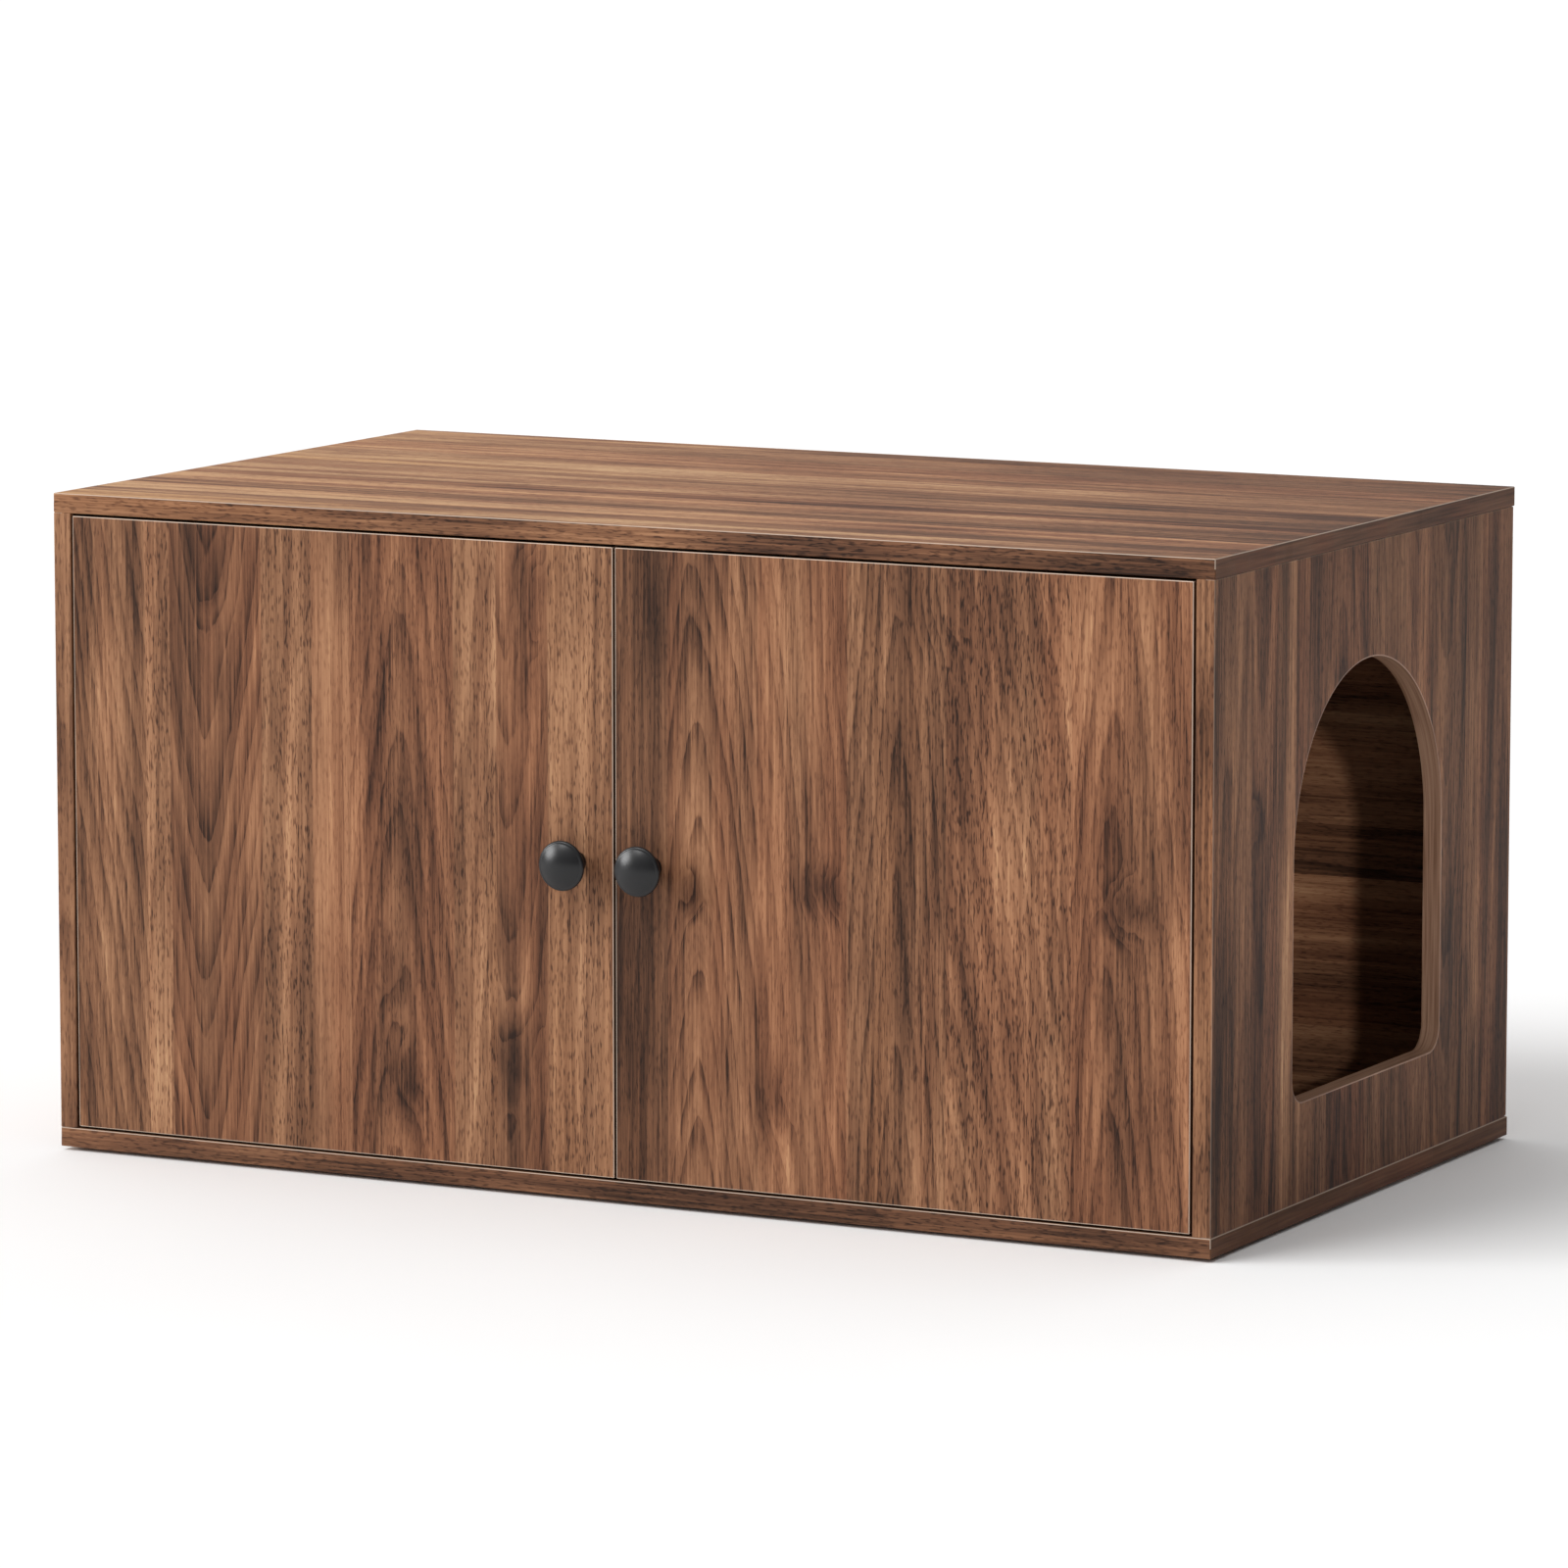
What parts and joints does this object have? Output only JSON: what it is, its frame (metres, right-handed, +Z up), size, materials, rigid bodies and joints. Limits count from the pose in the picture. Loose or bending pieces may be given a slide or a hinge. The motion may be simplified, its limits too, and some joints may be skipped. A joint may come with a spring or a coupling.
{
  "type": "cat litter box cabinet",
  "caption": "Low wood-look cabinet that hides a cat litter box, with two inset doors on concealed hinges, mushroom knobs and an arched cat entry in its right side.",
  "frame": {"origin": "on the floor, below the centre of the bounding box, knobs and glides included", "axes": "+X to the right seen from the front, -Y out of the doors towards the user, +Z up; the arched entry is in the +X side"},
  "size_m": [0.98, 0.59, 0.513],
  "materials": {
    "edge_band": "satin plastic edge band in the board's tone",
    "back_board": "walnut-look printed board, satin",
    "zinc_plated_steel": "zinc plated",
    "walnut_board": "walnut-look melamine on board, satin, planked",
    "zinc_casting": "zinc die casting, dull",
    "black_plastic": "moulded black plastic",
    "magnet": "ferrite, matt",
    "beech_dowel": "beech, planed and fluted",
    "black_knob": "satin black metal",
    "nickel_plated_steel": "nickel plated, pressed"
  },
  "bodies": {
    "cabinet": {"arch_edge_band": "edge_band", "back_panel": "back_board", "back_panel_screws": "zinc_plated_steel", "bottom_panel": "walnut_board", "cam_bolts": "zinc_plated_steel", "cam_locks": "zinc_casting", "catch_housing": "black_plastic", "catch_magnets": "magnet", "catch_screws": "zinc_plated_steel", "dowels": "beech_dowel", "floor_glides": "black_plastic", "hinge_plate_screws": "zinc_plated_steel", "left_arm_pins": "zinc_plated_steel", "left_hinge_arm_screws": "zinc_plated_steel", "left_lower_hinge_arm": "nickel_plated_steel", "left_lower_hinge_plate": "nickel_plated_steel", "left_side_panel": "walnut_board", "left_upper_hinge_arm": "nickel_plated_steel", "left_upper_hinge_plate": "nickel_plated_steel", "right_arm_pins": "zinc_plated_steel", "right_hinge_arm_screws": "zinc_plated_steel", "right_lower_hinge_arm": "nickel_plated_steel", "right_lower_hinge_plate": "nickel_plated_steel", "right_side_panel": "walnut_board", "right_upper_hinge_arm": "nickel_plated_steel", "right_upper_hinge_plate": "nickel_plated_steel", "top_panel": "walnut_board"},
    "left_outer_links": {"left_lower_outer_links": "nickel_plated_steel", "left_upper_outer_links": "nickel_plated_steel"},
    "left_inner_links": {"left_lower_inner_link": "nickel_plated_steel", "left_upper_inner_link": "nickel_plated_steel"},
    "left_door": {"left_cup_pins": "zinc_plated_steel", "left_door": "walnut_board", "left_hinge_cup_screws": "zinc_plated_steel", "left_knob": "black_knob", "left_knob_screw": "zinc_plated_steel", "left_lower_hinge_cup": "nickel_plated_steel", "left_strike_plate": "nickel_plated_steel", "left_strike_screw": "zinc_plated_steel", "left_upper_hinge_cup": "nickel_plated_steel"},
    "right_outer_links": {"right_lower_outer_links": "nickel_plated_steel", "right_upper_outer_links": "nickel_plated_steel"},
    "right_inner_links": {"right_lower_inner_link": "nickel_plated_steel", "right_upper_inner_link": "nickel_plated_steel"},
    "right_door": {"right_cup_pins": "zinc_plated_steel", "right_door": "walnut_board", "right_hinge_cup_screws": "zinc_plated_steel", "right_knob": "black_knob", "right_knob_screw": "zinc_plated_steel", "right_lower_hinge_cup": "nickel_plated_steel", "right_strike_plate": "nickel_plated_steel", "right_strike_screw": "zinc_plated_steel", "right_upper_hinge_cup": "nickel_plated_steel"}
  },
  "joints": [
    {"name": "left_door_hinge", "type": "hinge", "parent": "left_outer_links", "child": "left_door", "pos_m": [-0.4593, -0.2573, 0.258], "axis": [0, 0, -1], "range_deg": [0, 132.79]},
    {"name": "left_outer_link_pivot", "type": "hinge", "parent": "cabinet", "child": "left_outer_links", "pos_m": [-0.4436, -0.257, 0.258], "axis": [0, 0, -1], "range_deg": [-44.8, 0]},
    {"name": "left_inner_link_pivot", "type": "hinge", "parent": "cabinet", "child": "left_inner_links", "pos_m": [-0.433, -0.2432, 0.258], "axis": [0, 0, -1], "range_deg": [-30.9, 0]},
    {"name": "right_door_hinge", "type": "hinge", "parent": "right_outer_links", "child": "right_door", "pos_m": [0.4593, -0.2573, 0.258], "axis": [0, 0, 1], "range_deg": [0, 132.79]},
    {"name": "right_outer_link_pivot", "type": "hinge", "parent": "cabinet", "child": "right_outer_links", "pos_m": [0.4436, -0.257, 0.258], "axis": [0, 0, 1], "range_deg": [-44.8, 0]},
    {"name": "right_inner_link_pivot", "type": "hinge", "parent": "cabinet", "child": "right_inner_links", "pos_m": [0.433, -0.2432, 0.258], "axis": [0, 0, 1], "range_deg": [-30.9, 0]}
  ],
  "couplings": [
    {"joint": "left_outer_link_pivot", "follows": "left_door_hinge", "ratio": -0.33731},
    {"joint": "left_inner_link_pivot", "follows": "left_door_hinge", "ratio": -0.23221},
    {"joint": "right_outer_link_pivot", "follows": "right_door_hinge", "ratio": -0.33731},
    {"joint": "right_inner_link_pivot", "follows": "right_door_hinge", "ratio": -0.23221}
  ]
}
